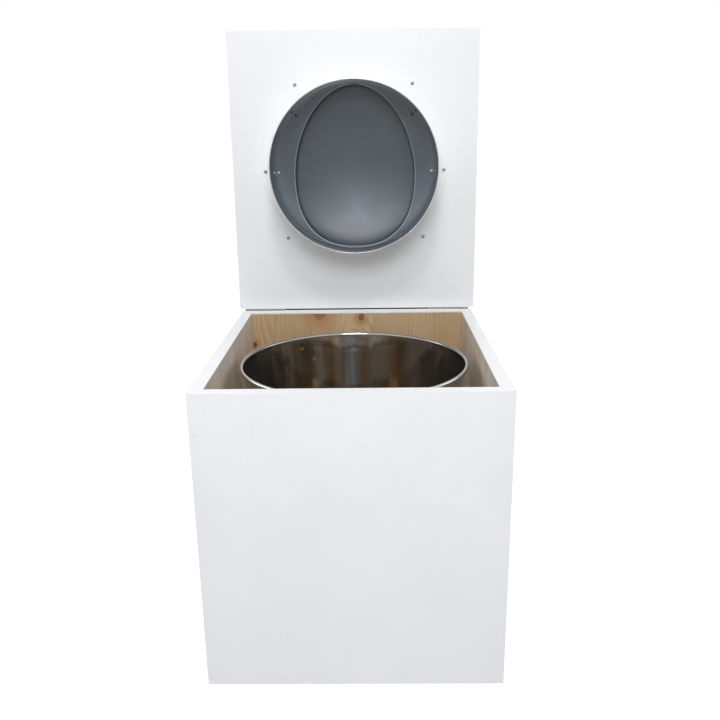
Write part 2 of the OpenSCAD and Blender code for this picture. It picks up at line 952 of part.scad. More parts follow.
module bail_grip() {
    angle = grip_len / bail_r * 180 / PI;
    color(rubber)
    at_bail()
        translate([elbow_r, 0, 0])
            bent_bar(bail_r, -angle / 2, angle)
                difference() {
                    circle(r = grip_r);
                    circle(r = wire_r + running_play);
                }
}

front_panel();
rear_panel();
left_panel();
right_panel();
base_panel();
front_panel_screws();
rear_panel_screws();
base_screws();
seat_board();
hinge_leaf_fixed_left();
hinge_leaf_fixed_right();
hinge_leaf_moving_left();
hinge_leaf_moving_right();
hinge_pin_left();
hinge_pin_right();
hinge_screws_box();
hinge_screws_board();
splash_collar();
collar_screws();
seat_ring();
seat_ring_screws();
seat_ring_side_screws();
seat_lid();
lid_buffers();
lid_hinge_post_left();
lid_hinge_post_right();
lid_hinge_pin_left();
lid_hinge_pin_right();
lid_hinge_screws();
bucket();
bucket_ear_back();
bucket_ear_front();
bail();
bail_grip();
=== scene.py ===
"""Looks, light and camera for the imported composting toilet.

The CAD frame is in metres: X to the right, Y to the back, Z up, with the origin in the
middle of the box's underside. Pieces that are drawn here are given in millimetres. Those
on the seat board are drawn in the seat's frame: the middle of the throat on the closed
board's upper face, with Y towards the hinges and Z out of the board.
"""
import math

import bmesh
import bpy
from mathutils import Matrix, Vector


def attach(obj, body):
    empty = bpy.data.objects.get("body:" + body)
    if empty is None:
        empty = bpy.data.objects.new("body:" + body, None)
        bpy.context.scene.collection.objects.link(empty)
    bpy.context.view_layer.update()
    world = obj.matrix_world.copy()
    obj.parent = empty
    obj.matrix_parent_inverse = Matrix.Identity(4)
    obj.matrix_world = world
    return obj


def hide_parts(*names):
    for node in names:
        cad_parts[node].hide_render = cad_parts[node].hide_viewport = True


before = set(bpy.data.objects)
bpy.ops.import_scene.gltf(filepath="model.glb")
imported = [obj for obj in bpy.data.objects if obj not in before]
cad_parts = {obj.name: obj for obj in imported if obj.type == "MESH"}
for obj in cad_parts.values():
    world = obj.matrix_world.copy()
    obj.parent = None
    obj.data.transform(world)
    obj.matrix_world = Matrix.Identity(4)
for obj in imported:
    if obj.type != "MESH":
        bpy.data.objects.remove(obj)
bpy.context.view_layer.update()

MM = 0.001

# Sizes in millimetres that the part's source has too.
BOX_W, BOX_D, BOX_H = 400, 450, 417
PANEL_T = 18
BOARD_T = 18
THROAT_Y = -15
THROAT_R = 135
HINGE_AXIS_Y, HINGE_AXIS_Z = 227.5, 417.2
OPEN_ANGLE = 91.8
COLLAR_T = 1.5
COLLAR_DROP = 65
FLANGE_W = 20
FLANGE_SHIFT = 4
RING_T = 20
RING_HALF_W, RING_FRONT, RING_BACK = 183, 200, 178
OPENING_HALF_W, OPENING_FRONT, OPENING_BACK = 102, 134.5, 133
WIDEST_BACK = 12
FRONT_POWER, OPENING_FRONT_POWER, REAR_POWER = 2.1, 1.9, 2.4
LID_GAP = 2.5
LID_RIM_H = 14
LID_CROWN = 1.8
LID_HOLLOW = 8
LID_RIM_W = 13
LID_AXIS_Y, LID_AXIS_Z = 202, 16
BARREL_R, BARREL_W = 8, 14
BORE_R = 4.05
RING_LUG_X, LID_LUG_X = 62, 93
BLIND_HOLE_R, BLIND_HOLE_DEPTH = 2.8, 12
BLIND_HOLE_AT, BLIND_HOLE_ANGLE = 129.6, 48.5
SIDE_SCREW_AT, SIDE_SCREW_ANGLE = 130.7, 93.5
COLLAR_SCREW_AT, COLLAR_SCREW_ANGLE = 150, 92
RING_SCREW_AT, RING_SCREW_ANGLES = 164, (36, 135)
SCREW_X = (BOX_W - PANEL_T) / 2
EDGE_SCREW_Z = (52, 208.5, 365)
BASE_SCREW_PITCH = 130
BUCKET_Z = 18
BUCKET_H = 378
BUCKET_TOP_R, BUCKET_BOTTOM_R = 162.3, 124
BUCKET_T = 1
BUCKET_CORNER_R = 12
BUCKET_RIM_R = 3.3

# What follows from these: the collar's outside, and heights in the seat's frame.
TUBE_R = THROAT_R + COLLAR_T
BOARD_FACE_Z = -BOARD_T
FLANGE_FACE_Z = BOARD_FACE_Z - COLLAR_T
COLLAR_END_Z = BOARD_FACE_Z - COLLAR_DROP

# Width of the bevel round the ring's lower inner edge.
RING_EDGE = 1.4
# Spot welds of an ear: degrees to the left of straight back, and height on the bucket.
WELD_SPOTS = (33.6, 360.6), (38.9, 339.5), (26.5, 341.2)

# Sides of a turned piece and of the seat's outlines.
TURNED_SIDES = 256
OUTLINE_SIDES = 240
# Edges that turn more than this are shaded sharp, in degrees.
SHARP_ANGLE = 32

HINGE_AXIS = Matrix.Translation((0, HINGE_AXIS_Y * MM, HINGE_AXIS_Z * MM))
# Takes what is drawn with the seat board closed to where it stands open.
OPENED = HINGE_AXIS @ Matrix.Rotation(math.radians(-OPEN_ANGLE), 4, "X") @ HINGE_AXIS.inverted()
# Takes the seat's frame to the CAD frame.
ON_BOARD = OPENED @ Matrix.Translation((0, THROAT_Y * MM, (HINGE_AXIS_Z + BOARD_T) * MM))
IN_BOX = Matrix.Translation((0, THROAT_Y * MM, BUCKET_Z * MM))


# ---------------------------------------------------------------- mesh helpers

def mesh_of(name, part, place):
    """A mesh in metres of points in millimetres and faces."""
    points, faces = part
    mesh = bpy.data.meshes.new(name)
    mesh.from_pydata([place @ (Vector(p) * MM) for p in points], [], faces)
    mesh.validate()
    recalculate_normals(mesh)
    return mesh


def add_piece(name, points, faces, place, body, slot, replaced):
    """A new smooth-shaded piece, given in millimetres, that stands for CAD nodes."""
    mesh = mesh_of(name, (points, faces), place)
    piece = bpy.data.objects.new(name, mesh)
    bpy.context.scene.collection.objects.link(piece)
    shade(mesh)
    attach(piece, body)
    if replaced:
        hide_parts(*replaced)
    return piece


def recalculate_normals(mesh):
    work = bmesh.new()
    work.from_mesh(mesh)
    bmesh.ops.recalc_face_normals(work, faces=work.faces)
    work.to_mesh(mesh)
    work.free()


def shade(mesh):
    mesh.polygons.foreach_set("use_smooth", [True] * len(mesh.polygons))
    mesh.set_sharp_from_angle(angle=math.radians(SHARP_ANGLE))


def merged(*parts):
    """One list of points and one of faces, from several."""
    points, faces = [], []
    for part_points, part_faces in parts:
        start = len(points)
        points += part_points
        faces += [[start + i for i in face] for face in part_faces]
    return points, faces


def moved(part, place):
    points, faces = part
    return [tuple(place @ Vector(p)) for p in points], faces


def joined_loops(loops, closed=False):
    """Quads between loops of points of one length, with a flat cap at each end."""
    n = len(loops[0])
    points = [p for loop in loops for p in loop]
    bands = len(loops) if closed else len(loops) - 1
    faces = []
    for k in range(bands):
        a, b = k * n, (k + 1) % len(loops) * n
        faces += [[a + i, b + i, b + (i + 1) % n, a + (i + 1) % n] for i in range(n)]
    if not closed:
        faces.append(list(range(n)))
        faces.append([bands * n + i for i in reversed(range(n))])
    return points, faces


def turned(profile, closed=True, sides=TURNED_SIDES):
    """A profile of (radius, height) turned about Z."""
    loops = [circle_points(r, z, sides) for r, z in profile]
    return joined_loops(loops, closed)


def circle_points(r, z, sides):
    turns = [2 * math.pi * i / sides for i in range(sides)]
    return [(r * math.cos(t), r * math.sin(t), z) for t in turns]


def arc(centre, r, start, end, steps):
    """Points of an arc in a plane, between two angles in degrees."""
    angles = [math.radians(start + (end - start) * i / steps) for i in range(steps + 1)]
    return [(centre[0] + r * math.cos(a), centre[1] + r * math.sin(a)) for a in angles]


def round_throat(r, angle, side):
    """A place in the seat's frame at an angle from straight ahead, right or left."""
    a = math.radians(angle)
    return side * r * math.sin(a), -r * math.cos(a)


def cut_away(piece, cutter_mesh):
    """Takes a mesh's space out of a piece."""
    cutter = bpy.data.objects.new("cutter", cutter_mesh)
    bpy.context.scene.collection.objects.link(cutter)
    cut = piece.modifiers.new("cut", "BOOLEAN")
    cut.operation = "DIFFERENCE"
    cut.object = cutter
    cut.solver = "EXACT"
    apply_modifiers(piece)
    bpy.data.objects.remove(cutter)
    bpy.data.meshes.remove(cutter_mesh)


def apply_modifiers(piece):
    graph = bpy.context.evaluated_depsgraph_get()
    finished = bpy.data.meshes.new_from_object(piece.evaluated_get(graph))
    piece.modifiers.clear()
    old = piece.data
    piece.data = finished
    bpy.data.meshes.remove(old)
    shade(finished)


def finish_faces(piece, place, materials, choose):
    """Gives each face the material that a test on its middle chooses, in millimetres."""
    for material in materials:
        piece.data.materials.append(material)
    local = place.inverted()
    for face in piece.data.polygons:
        face.material_index = choose(local @ face.center / MM)


# ---------------------------------------------------------------- seat outlines

def bowed(c, half, power):
    return half * math.copysign(abs(c) ** (2 / power), c)


def egg(half_w, front, back, inset, z, ahead=FRONT_POWER):
    """The egg-shaped outline of the seat at a height, as in the part's source."""
    loop = []
    for i in range(OUTLINE_SIDES):
        a = 2 * math.pi * i / OUTLINE_SIDES
        at_front = math.sin(a) < 0
        power = ahead if at_front else REAR_POWER
        reach = front + WIDEST_BACK if at_front else back - WIDEST_BACK
        x = bowed(math.cos(a), half_w - inset, power)
        y = WIDEST_BACK + bowed(math.sin(a), reach - inset, power)
        loop.append((x, y, z))
    return loop


def ring_outer(inset, z):
    return egg(RING_HALF_W, RING_FRONT, RING_BACK, inset, z)


def ring_inner(inset, z):
    return egg(OPENING_HALF_W, OPENING_FRONT, OPENING_BACK, -inset, z, OPENING_FRONT_POWER)


def brow(outline, width, low, high, steps=8):
    """Loops that round an edge over, from its upright side to its flat top."""
    turns = [math.pi / 2 * i / steps for i in range(steps + 1)]
    return [outline(width * (1 - math.cos(t)), low + (high - low) * math.sin(t)) for t in turns]


def lug(x, web_from, web_to, web_low, web_high):
    """A hinge barrel with its web, in the seat's frame."""
    across = Matrix.Translation((x, LID_AXIS_Y, LID_AXIS_Z)) @ Matrix.Rotation(math.pi / 2, 4, "Y")
    half, chamfer = BARREL_W / 2, 0.8
    section = [(BORE_R, -half), (BARREL_R - chamfer, -half), (BARREL_R, chamfer - half),
               (BARREL_R, half - chamfer), (BARREL_R - chamfer, half), (BORE_R, half)]
    corners = [(x - half, web_low), (x + half, web_low), (x + half, web_high), (x - half, web_high)]
    web = joined_loops([[(cx, y, cz) for cx, cz in corners] for y in (web_from, web_to)])
    return merged(moved(turned(section, sides=64), across), web)


# ---------------------------------------------------------------- replaced pieces

def make_seat_ring():
    foot, shoulder, top_width = 3, 12, 7
    loops = [ring_inner(RING_EDGE, 0), ring_outer(foot, 0)]
    loops += brow(lambda inset, z: ring_outer(foot - inset, z), foot, 0, foot, 4)[1:-1]
    loops += brow(ring_outer, top_width, shoulder, RING_T)
    loops += reversed(brow(ring_inner, top_width, shoulder, RING_T))
    loops.append(ring_inner(0, RING_EDGE))
    parts = [joined_loops(loops, closed=True)]
    for side in (-1, 1):
        parts.append(lug(side * RING_LUG_X, web_from=162, web_to=LID_AXIS_Y,
                         web_low=4, web_high=14))
    ring = add_piece("seat_ring_moulded", *merged(*parts), ON_BOARD,
                     "seat_board", "seat_plastic", ["seat_ring"])
    for side in (-1, 1):
        x, y = round_throat(BLIND_HOLE_AT, BLIND_HOLE_ANGLE, side)
        profile = [(BLIND_HOLE_R, -1), (BLIND_HOLE_R, BLIND_HOLE_DEPTH)]
        hole = turned(profile, closed=False, sides=48)
        cut_away(ring, mesh_of("cutter", hole, ON_BOARD @ Matrix.Translation((x * MM, y * MM, 0))))
    return ring


def ring_side(p):
    """1 for the bevel round the ring's lower inner edge, which gets a painted highlight, 2 in a
    blind hole, which gets painted shade, and 0 for the rest.
    """
    slack = 0.1
    for side in (-1, 1):
        x, y = round_throat(BLIND_HOLE_AT, BLIND_HOLE_ANGLE, side)
        if math.hypot(p.x - x, p.y - y) < BLIND_HOLE_R + slack and p.z > slack / 2:
            return 2
    spread = math.hypot(p.x / OPENING_HALF_W, (p.y - WIDEST_BACK) / OPENING_FRONT)
    return int(slack < p.z < RING_EDGE - slack and spread < 1.3)


def make_seat_lid():
    low = RING_T + LID_GAP
    top = low + LID_RIM_H
    cove, steps, chamfer, brow_w, brow_h = 5, 6, 0.6, 8, 5
    loops = [ring_outer(inset, low + LID_HOLLOW) for inset in (120, 60)]
    for i in range(steps + 1):
        t = math.pi / 2 * i / steps
        loops.append(ring_outer(LID_RIM_W + 1 + cove * (1 - math.sin(t)),
                                low + LID_HOLLOW - cove * (1 - math.cos(t))))
    loops += [ring_outer(LID_RIM_W, low + chamfer), ring_outer(LID_RIM_W + chamfer, low)]
    loops += [ring_outer(2, low), ring_outer(chamfer, low + chamfer), ring_outer(0, low + 2)]
    loops += brow(ring_outer, brow_w, top - brow_h, top)
    for inset, share in ((16, 0.2), (30, 0.45), (50, 0.66), (75, 0.84), (100, 0.95), (130, 1)):
        loops.append(ring_outer(inset, top + share * LID_CROWN))
    parts = [joined_loops(loops)]
    for side in (-1, 1):
        parts.append(lug(side * LID_LUG_X, web_from=158, web_to=206, web_low=21, web_high=29))
    return add_piece("seat_lid_moulded", *merged(*parts), ON_BOARD,
                     "seat_lid", "seat_plastic", ["seat_lid"])


def make_collar():
    """The tube with its rounded free edge, and the flange that lies on the board."""
    end_r, fillet, chamfer = COLLAR_T / 2, 2.5, 0.4
    flange_r = TUBE_R + FLANGE_W
    profile = arc((THROAT_R + end_r, COLLAR_END_Z + end_r), end_r, -180, 0, 8)
    profile += arc((TUBE_R + fillet, FLANGE_FACE_Z - fillet), fillet, 180, 90, 6)
    flange_from = len(profile)
    profile += [(flange_r - chamfer, FLANGE_FACE_Z), (flange_r, FLANGE_FACE_Z + chamfer),
                (flange_r, BOARD_FACE_Z)]
    flange_to = len(profile)
    profile += [(TUBE_R, BOARD_FACE_Z), (TUBE_R, 0), (THROAT_R, 0)]
    points, faces = turned(profile)
    for i in range(flange_from * TURNED_SIDES, flange_to * TURNED_SIDES):
        x, y, z = points[i]
        points[i] = (x, y - FLANGE_SHIFT, z)
    return add_piece("splash_collar_spun", points, faces, ON_BOARD,
                     "seat_board", "stainless", ["splash_collar"])


def pan_screw(length):
    """A pan-head screw along +Z with a cross recess, its head under z = 0."""
    shank_r, head_r, head_h, tip = 1.5, 3.1, 1.8, 4
    recess_depth, arm_reach, arm_w, recess_turn = 1.2, 2, 0.85, 0.6
    dome = [(head_r * math.sin(t), -head_h * math.cos(t) ** 0.8)
            for t in (math.pi / 2 * i / 10 for i in range(10))]
    dome[0] = (0.05, -head_h)
    profile = dome + [(head_r, 0), (shank_r, 0), (shank_r, length - tip), (0.3, length)]
    mesh = mesh_of("pan_screw", turned(profile, closed=False, sides=40), Matrix())
    screw = bpy.data.objects.new("pan_screw", mesh)
    bpy.context.scene.collection.objects.link(screw)
    for turn in (0, math.pi / 2):
        corners = [(-arm_reach, -arm_w / 2), (arm_reach, -arm_w / 2),
                   (arm_reach, arm_w / 2), (-arm_reach, arm_w / 2)]
        arm = joined_loops([[(x, y, z) for x, y in corners]
                            for z in (-head_h - 1, recess_depth - head_h)])
        cut_away(screw, mesh_of("cutter", arm, Matrix.Rotation(turn + recess_turn, 4, "Z")))
    points = [tuple(v.co / MM) for v in screw.data.vertices]
    faces = [list(face.vertices) for face in screw.data.polygons]
    bpy.data.objects.remove(screw)
    return points, faces


def make_pan_screws(node, length, places, materials):
    """Pan-head screws that stand at places in the seat's frame, driven along +Z.

    The first material is for the screws and the second for their recesses."""
    turn_each = 1.1
    screw = pan_screw(length)
    parts = [moved(screw, Matrix.Translation(place) @ Matrix.Rotation(i * turn_each, 4, "Z"))
             for i, place in enumerate(places)]
    made = add_piece(node + "_driven", *merged(*parts), ON_BOARD,
                     "seat_board", "screw_steel", [node])
    reach, deepest, shallowest = 2.1, -0.3, -1.25

    def in_recess(p):
        return int(any(math.hypot(p.x - place.x, p.y - place.y) < reach
                       and shallowest < p.z - place.z < deepest for place in places))

    finish_faces(made, ON_BOARD, materials, in_recess)


def painted_screw():
    """A raised-head screw along -Z, its head over z = 0."""
    head_r, raised, shank_r, length, tip = 3.2, 0.4, 2, 45, 4
    profile = [(0.3, -length), (shank_r, tip - length), (shank_r, shank_r - head_r), (head_r, 0)]
    for i in range(1, 12):
        share = 1 - i / 12
        profile.append((head_r * share, raised * (1 - share ** 2) ** 0.7))
    return turned(profile + [(0.05, raised)], closed=False, sides=40)


def make_painted_screws(node, places, finish):
    """Painted screws in the box, at places that each have a direction out of the wood."""
    screw = painted_screw()
    parts = []
    for place, out in places:
        facing = Vector(out).to_track_quat("Z", "Y").to_matrix().to_4x4()
        parts.append(moved(screw, Matrix.Translation(place) @ facing))
    made = add_piece(node + "_painted", *merged(*parts), Matrix(), "box", "white_paint", [node])
    made.data.materials.append(finish.material)


def make_gap_shade_strip(half_w, thick, margin):
    """A thin dark strip along the seat board's rear edge, between the hinges: painted shade that
    stands for the dark seen through the gap there.
    """
    low, high = HINGE_AXIS_Z + margin, HINGE_AXIS_Z + BOARD_T - margin
    near, far, chamfer = BOX_D / 2, BOX_D / 2 + thick, 0.5
    section = [(near, low), (far - chamfer, low), (far, low + chamfer),
               (far, high - chamfer), (far - chamfer, high), (near, high)]
    loops = [[(x, y, z) for y, z in section] for x in (-half_w, half_w)]
    return add_piece("rear_edge_strip", *joined_loops(loops), OPENED, "seat_board", "rubber", [])


def collar_side(p):
    """0 for the collar's inside, 1 for its painted flange, 2 for its outside and 3 for its edge."""
    r = math.hypot(p.x, p.y)
    if r > TUBE_R + 0.5:
        return 1
    if p.z < COLLAR_END_Z + COLLAR_T / 2:
        return 3
    return 2 if r > TUBE_R - 0.2 and p.z > COLLAR_END_Z + 3 else 0


def bucket_wall_r(z):
    """Outer radius of the bucket's straight wall at a height."""
    slope = math.atan((BUCKET_TOP_R - BUCKET_BOTTOM_R) / BUCKET_H)
    foot_r = BUCKET_BOTTOM_R - BUCKET_CORNER_R * (1 - math.cos(slope))
    foot_z = BUCKET_CORNER_R * (1 - math.sin(slope))
    rise = BUCKET_H - BUCKET_RIM_R - foot_z
    return foot_r + (BUCKET_TOP_R - foot_r) * (z - foot_z) / rise


def bucket_side(p):
    """0 for the bucket's inner wall, 1 for its rim, 2 for its outside and its bottom."""
    if p.z > BUCKET_H - 2 * BUCKET_RIM_R:
        return 1
    outside = math.hypot(p.x, p.y) > bucket_wall_r(p.z) - BUCKET_T / 2
    return 2 if outside or p.z < BUCKET_CORNER_R + 2 else 0


def make_bucket():
    slope = math.degrees(math.atan((BUCKET_TOP_R - BUCKET_BOTTOM_R) / BUCKET_H))
    corner_x = BUCKET_BOTTOM_R - BUCKET_CORNER_R
    inner_corner = BUCKET_CORNER_R - BUCKET_T
    top_z = BUCKET_H - BUCKET_RIM_R
    bead = (BUCKET_TOP_R - BUCKET_T + BUCKET_RIM_R, top_z)
    rows, low, high = 60, 30, top_z - 4
    heights = [low + (high - low) * i / rows for i in range(rows + 1)]
    hub_r, flat_r = 6, 60
    outer = [(hub_r, 0), (flat_r, 0)]
    outer += arc((corner_x, BUCKET_CORNER_R), BUCKET_CORNER_R, -90, -slope, 8)
    outer += [(bucket_wall_r(z), z) for z in heights]
    inner = [(bucket_wall_r(z) - BUCKET_T, z) for z in reversed(heights)]
    inner += arc((corner_x, BUCKET_CORNER_R), inner_corner, -slope, -90, 8)
    inner += [(flat_r, BUCKET_T), (hub_r, BUCKET_T)]
    profile = outer + arc(bead, BUCKET_RIM_R, -50, 180, 24) + inner
    bucket = add_piece("bucket_spun", *turned(profile, closed=False), IN_BOX,
                       "bucket", "stainless", ["bucket"])
    for angle, z in WELD_SPOTS:
        dent(bucket, math.radians(90 + angle), z)
    return bucket


def dent(bucket, turn, z):
    """Pushes the wall out a little where an ear is spot welded on."""
    reach, r, depth = 9, 2.4, 0.32
    middle = Vector((bucket_wall_r(z) * math.cos(turn), bucket_wall_r(z) * math.sin(turn), z))
    local = IN_BOX.inverted()
    work = bmesh.new()
    work.from_mesh(bucket.data)
    near = [e for e in work.edges
            if all((local @ v.co / MM - middle).length < reach for v in e.verts)]
    bmesh.ops.subdivide_edges(work, edges=near, cuts=7, use_grid_fill=True)
    outwards = Vector((math.cos(turn), math.sin(turn), 0))
    for vertex in work.verts:
        away = (local @ vertex.co / MM - middle).length
        if away < reach:
            vertex.co += outwards * (depth * MM * math.exp(-(away / r) ** 2))
    work.to_mesh(bucket.data)
    work.free()
    shade(bucket.data)


# ---------------------------------------------------------------- material helpers

class Finish:
    """A material with one Principled shader, and short calls for the nodes before it."""

    def __init__(self, name, colour, roughness, metallic=0.0):
        self.material = bpy.data.materials.new(name)
        self.material.use_nodes = True
        self.tree = self.material.node_tree
        self.shader = self.tree.nodes["Principled BSDF"]
        self.set("Base Color", (*colour, 1))
        self.set("Roughness", roughness)
        self.set("Metallic", metallic)
        self.place = self.node("ShaderNodeTexCoord").outputs["Object"]

    def node(self, kind, **settings):
        made = self.tree.nodes.new(kind)
        for key, value in settings.items():
            setattr(made, key, value)
        return made

    def put(self, socket, value):
        """Links a socket's output to it, or sets its number."""
        if isinstance(value, bpy.types.NodeSocket):
            self.tree.links.new(value, socket)
        else:
            socket.default_value = value

    def set(self, name, value):
        self.put(self.shader.inputs[name], value)

    def math(self, operation, *values):
        made = self.node("ShaderNodeMath", operation=operation)
        for socket, value in zip(made.inputs, values):
            self.put(socket, value)
        return made.outputs[0]

    def add(self, a, b):
        return self.math("ADD", a, b)

    def subtract(self, a, b):
        return self.math("SUBTRACT", a, b)

    def multiply(self, a, b):
        return self.math("MULTIPLY", a, b)

    def length(self, x, y):
        """The length of a flat vector."""
        return self.math("SQRT", self.add(self.math("POWER", x, 2), self.math("POWER", y, 2)))

    def split(self, vector):
        made = self.node("ShaderNodeSeparateXYZ")
        self.put(made.inputs[0], vector)
        return made.outputs[0], made.outputs[1], made.outputs[2]

    def join(self, x, y, z):
        made = self.node("ShaderNodeCombineXYZ")
        for socket, value in zip(made.inputs, (x, y, z)):
            self.put(socket, value)
        return made.outputs[0]

    def stretched(self, scale):
        """The place, multiplied along each axis."""
        made = self.node("ShaderNodeVectorMath", operation="MULTIPLY")
        self.put(made.inputs[0], self.place)
        self.put(made.inputs[1], scale)
        return made.outputs[0]

    def noise(self, vector, scale, detail, roughness=0.5):
        """Smooth noise from 0 to 1."""
        made = self.node("ShaderNodeTexNoise")
        self.put(made.inputs["Vector"], vector)
        self.put(made.inputs["Scale"], scale)
        self.put(made.inputs["Detail"], detail)
        self.put(made.inputs["Roughness"], roughness)
        return made.outputs["Fac"]

    def chance(self, number, seed):
        """A fixed random value from 0 to 1 for each whole number."""
        made = self.node("ShaderNodeTexWhiteNoise", noise_dimensions="1D")
        self.put(made.inputs["W"], self.add(number, seed))
        return made.outputs["Value"]

    def span(self, value, low, high, to_low=0.0, to_high=1.0, smooth=False):
        """Takes a range of values to another range, and holds it there."""
        made = self.node("ShaderNodeMapRange", clamp=True)
        if smooth:
            made.interpolation_type = "SMOOTHSTEP"
        for socket, number in zip(made.inputs, (value, low, high, to_low, to_high)):
            self.put(socket, number)
        return made.outputs[0]

    def mix(self, share, a, b):
        """Colour a where the share is 0, and b where it is 1."""
        made = self.node("ShaderNodeMix", data_type="RGBA")
        self.put(made.inputs["Factor"], share)
        for socket, value in ((made.inputs[6], a), (made.inputs[7], b)):
            self.put(socket, value if isinstance(value, bpy.types.NodeSocket) else (*value, 1))
        return made.outputs[2]

    def bump(self, height, distance):
        """Raises the surface by a height from 0 to 1 times a distance in metres."""
        made = self.node("ShaderNodeBump")
        self.put(made.inputs["Height"], height)
        self.put(made.inputs["Distance"], distance)
        return made.outputs["Normal"]


def dress(name, finish):
    """Gives a CAD node its finish."""
    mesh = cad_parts[name].data
    mesh.materials.clear()
    mesh.materials.append(finish.material)


def soften(name, width):
    """Rounds a CAD node's edges over, on top of its own mesh."""
    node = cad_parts[name]
    weld = node.modifiers.new("weld", "WELD")
    weld.merge_threshold = 0.00001
    flat = node.modifiers.new("flat", "DECIMATE")
    flat.decimate_type = "DISSOLVE"
    flat.angle_limit = math.radians(1)
    bevel = node.modifiers.new("bevel", "BEVEL")
    bevel.width = width * MM
    bevel.segments = 3
    bevel.limit_method = "ANGLE"
    bevel.angle_limit = math.radians(40)
    normals = node.modifiers.new("normals", "WEIGHTED_NORMAL")
    normals.keep_sharp = True


# ---------------------------------------------------------------- materials

# Knots in the rear wall that show above the bucket: across, up and radius in metres, and
# how dark the middle is.
REAR_KNOTS = ((-0.064, 0.4175, 0.0115, 0.5), (0.0084, 0.408, 0.0056, 0.75),
              (-0.179, 0.360, 0.004, 1))


def spruce_nodes(finish, across, along, seam_at, stave_w, knots=()):
    """Colour and height of glued spruce staves, from places in metres on a board.

    Each stave is cut from its own log: a growth ring's radius is the distance to a heart
    line that runs beside the stave and leans a little."""
    ring_pitch = 0.0042
    stave = finish.math("FLOOR", finish.math("DIVIDE", finish.subtract(across, seam_at), stave_w))
    inside = finish.subtract(across, finish.add(finish.multiply(stave, stave_w), seam_at))
    heart_off = finish.span(finish.chance(stave, 3.1), 0, 1, -0.02, 0.13)
    lean = finish.span(finish.chance(stave, 12.9), 0, 1, -0.09, 0.09)
    heart_deep = finish.span(finish.chance(stave, 7.7), 0, 1, 0.006, 0.045)
    heart_deep = finish.add(heart_deep, finish.multiply(lean, along))
    slow = finish.join(finish.multiply(across, 16), finish.multiply(along, 2.6), stave)
    wobble = finish.span(finish.noise(slow, 1, 3, 0.5), 0.2, 0.8, -0.007, 0.007)
    radius = finish.add(finish.length(finish.subtract(inside, heart_off), heart_deep), wobble)
    swelling, cores, halos = knot_nodes(finish, across, along, knots)
    phase = finish.math("FRACT", finish.math("DIVIDE", finish.add(radius, swelling), ring_pitch))
    late = finish.math("POWER", phase, 2.5)
    fade = finish.span(finish.noise(slow, 2.3, 2, 0.5), 0.35, 0.65, 0.25, 0.85)
    threads = finish.join(finish.multiply(across, 1300), finish.multiply(along, 22), stave)
    fibres = finish.noise(threads, 1, 3, 0.6)
    colour = finish.mix(finish.chance(stave, 21.3), (0.55, 0.40, 0.22), (0.64, 0.49, 0.30))
    blush = finish.span(finish.noise(slow, 1.4, 2, 0.5), 0.4, 0.7, 0, 0.5)
    colour = finish.mix(blush, colour, (0.62, 0.44, 0.27))
    colour = finish.mix(finish.multiply(late, fade), colour, (0.40, 0.22, 0.095))
    colour = finish.mix(finish.span(fibres, 0.35, 0.7, 0, 0.16), colour, (0.34, 0.24, 0.15))
    if knots:
        colour = finish.mix(finish.multiply(halos, 0.75), colour, (0.44, 0.20, 0.07))
        colour = finish.mix(finish.multiply(cores, 0.9), colour, (0.13, 0.052, 0.02))
    from_seam = finish.math("MINIMUM", inside, finish.subtract(stave_w, inside))
    colour = finish.mix(finish.span(from_seam, 0, 0.0007, 0.3, 0), colour, (0.20, 0.12, 0.07))
    height = finish.add(finish.multiply(late, 0.6), finish.multiply(fibres, 0.4))
    return colour, height


def knot_nodes(finish, across, along, knots):
    """How far knots push the growth rings aside, and how dark their cores and halos are."""
    swelling, cores, halos = 0.0, 0.0, 0.0
    for knot_across, knot_along, knot_r, depth in knots:
        away = finish.length(finish.subtract(across, knot_across),
                             finish.multiply(finish.subtract(along, knot_along), 0.8))
        swell = finish.math("EXPONENT", finish.multiply(away, -0.45 / knot_r))
        swelling = finish.add(swelling, finish.multiply(swell, knot_r * 2.2))
        core = finish.span(away, knot_r * 0.75, knot_r * 1.05, depth, 0)
        cores = finish.math("MAXIMUM", cores, core)
        halos = finish.math("MAXIMUM", halos, finish.span(away, knot_r * 0.9, knot_r * 3.2, 1, 0))
    return swelling, cores, halos


def raw_inside(paint, x, y, z):
    """1 on the box's inner faces up to the paint's ragged edge, and 0 elsewhere."""
    ragged = paint.span(paint.noise(paint.stretched((60, 60, 60)), 1, 3), 0, 1, -0.0008, 0.0008)
    slack = 0.0004
    half_w, half_d = (BOX_W / 2 - PANEL_T) * MM + slack, (BOX_D / 2 - PANEL_T) * MM + slack
    in_x = paint.math("LESS_THAN", paint.math("ABSOLUTE", x), half_w)
    in_y = paint.math("LESS_THAN", paint.math("ABSOLUTE", y), half_d)
    under = paint.math("LESS_THAN", paint.add(z, ragged), (BOX_H - 2) * MM)
    return paint.multiply(paint.multiply(in_x, in_y), under)


